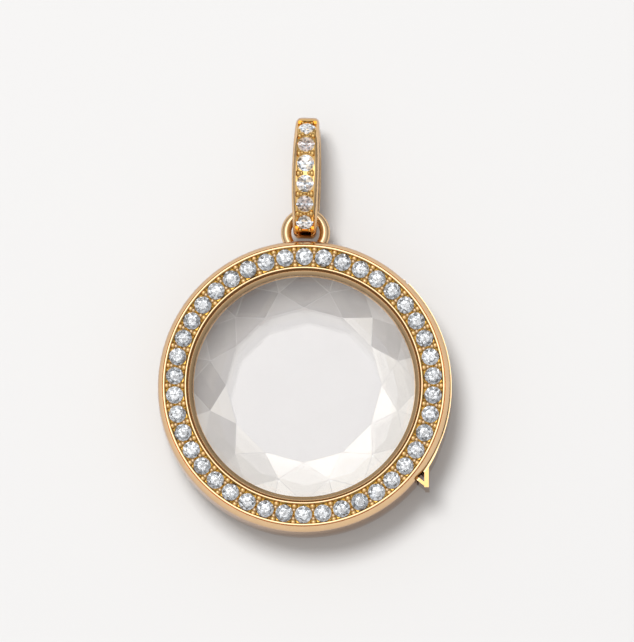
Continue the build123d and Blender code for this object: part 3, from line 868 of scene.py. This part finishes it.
tongue_x = BELLY_R * cos(DOOR_END) + TONGUE_STAND
tongue_y = BELLY_R * sin(DOOR_END)
tip_y = tongue_y - TONGUE_L
out_x = tongue_x + TONGUE_T
out_r = BELLY_R + FLARE_OUT
bend_at = asin(-sqrt(out_r ** 2 - out_x ** 2) / out_r)
root_r = BELLY_R - FLARE_ROOT
tongue_plan = []
for k in range(FLARE_STEPS + 1):
    turn = DOOR_END + (FLARE_AT - DOOR_END) * k / FLARE_STEPS
    tongue_plan.append((root_r * cos(turn), root_r * sin(turn)))
for k in range(FLARE_STEPS + 1):
    turn = FLARE_AT + (bend_at - FLARE_AT) * k / FLARE_STEPS
    radius = SHOULDER_R + (out_r - SHOULDER_R) * sin(pi / 2 * k / FLARE_STEPS)
    tongue_plan.append((radius * cos(turn), radius * sin(turn)))
tongue_plan += [(out_x, tip_y), (tongue_x, tip_y), (tongue_x, tongue_y)]
joined_to(gate, prism("tongue", Matrix.Translation(AXIS), tongue_plan, DOOR_LOW, DOOR_HIGH))
leaf_plan = [(0, -LEAF_T / 2), (LEAF_L, -LEAF_T / 2), (LEAF_L, LEAF_T / 2), (0, LEAF_T / 2)]
joined_to(gate, prism("leaf", shut, leaf_plan, DOOR_LOW, DOOR_HIGH))
door_h = DOOR_HIGH - DOOR_LOW
joined_to(gate, on_pin("barrel", BARREL_R, door_h, BARREL_SIDES))
cut_away(gate, on_pin("bore", BORE_R, door_h + 2 * CUT_OVER, BARREL_SIDES))
picked([gate])
bpy.ops.object.shade_smooth_by_angle(angle=SMOOTH_TO)
gate.data.materials.append(gold)
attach(gate, "door")
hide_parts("gate")

# The stones: small round brilliants, 42 in the case's front and six in the bail's, each in its
# own cut seat. They are colourless. Light and dark cells, crowded towards each stone's edge,
# stand in for the many reflections inside, with a faint glow for the sparkle.
STONE_TINT = (0.99, 0.995, 1.0, 1)
STONE_IOR = 2.42
STONE_PASSES = (0.7, 0.7, 0.7, 1)
STONE_CELLS = 6500.0
STONE_TONES = [
    (0.0, (0.015, 0.018, 0.02)), (0.36, (0.06, 0.065, 0.07)), (0.58, (0.52, 0.545, 0.555)),
    (1.0, (0.84, 0.85, 0.855))]
STONE_FIRE = [(0.0, (0.0, 0.0, 0.0)), (0.25, (0.01, 0.01, 0.01)), (0.8, (0.135, 0.155, 0.18))]
RIM_FROM = 0.24e-3
RIM_TO = 0.52e-3
RIM_TONE = 0.35
ROW_HALF = 0.72e-3
BAIL_RIM = 0.35
BAIL_FIRE_LEAST = 0.2
BAIL_FIRE_SWING = 0.7
stone = clear("brilliant", STONE_TINT, STONE_IOR, STONE_PASSES)
surface = stone.node_tree.nodes["Principled BSDF"]
cut = Wire(stone.node_tree)
place, from_axis, radius = on_case(cut)
sideways = cut.node("SeparateXYZ", {}, {0: from_axis}, "X")
upwards = cut.node("SeparateXYZ", {}, {0: from_axis}, "Y")
turns = cut.maths("ARCTAN2", upwards, sideways) * (1 / ROW_STEP)
along = (cut.maths("FRACT", turns) - 0.5) * (ROW_STEP * ROW_R)
across = radius - ROW_R
from_middle = cut.maths("SQRT", along * along + across * across)
rim = cut.node("MapRange", {}, {
    "Value": from_middle, "From Min": RIM_FROM, "From Max": RIM_TO, "To Min": 0.0, "To Max": 1.0})
in_row = near(radius, ROW_R, ROW_HALF)
rim = in_row * rim + (1 - in_row) * BAIL_RIM
cell = cut.node("TexVoronoi", {}, {"Vector": place, "Scale": STONE_CELLS}, "Color")
glint = cut.node("SeparateXYZ", {}, {0: cell}, "X")
cut.feed(surface, "Base Color", cut.node(
    "ValToRGB", {"stops": STONE_TONES}, {0: glint + rim * RIM_TONE}, "Color"))
# The bail's stones, in their narrower setting, get twice the glow, to look as bright.
bail_fire = BAIL_FIRE_LEAST + BAIL_FIRE_SWING * glint
fire = cut.node("ValToRGB", {"stops": STONE_FIRE}, {
    0: glint * rim + (1 - in_row) * bail_fire}, "Color")
fire = cut.node("VectorMath", {"operation": "SCALE"}, {0: fire, "Scale": 2.0 - in_row}, "Vector")
cut.feed(surface, "Emission Color", fire)
surface.inputs["Emission Strength"].default_value = 1.0
for name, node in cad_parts.items():
    if "stone" in name:
        node.data.materials[0] = stone
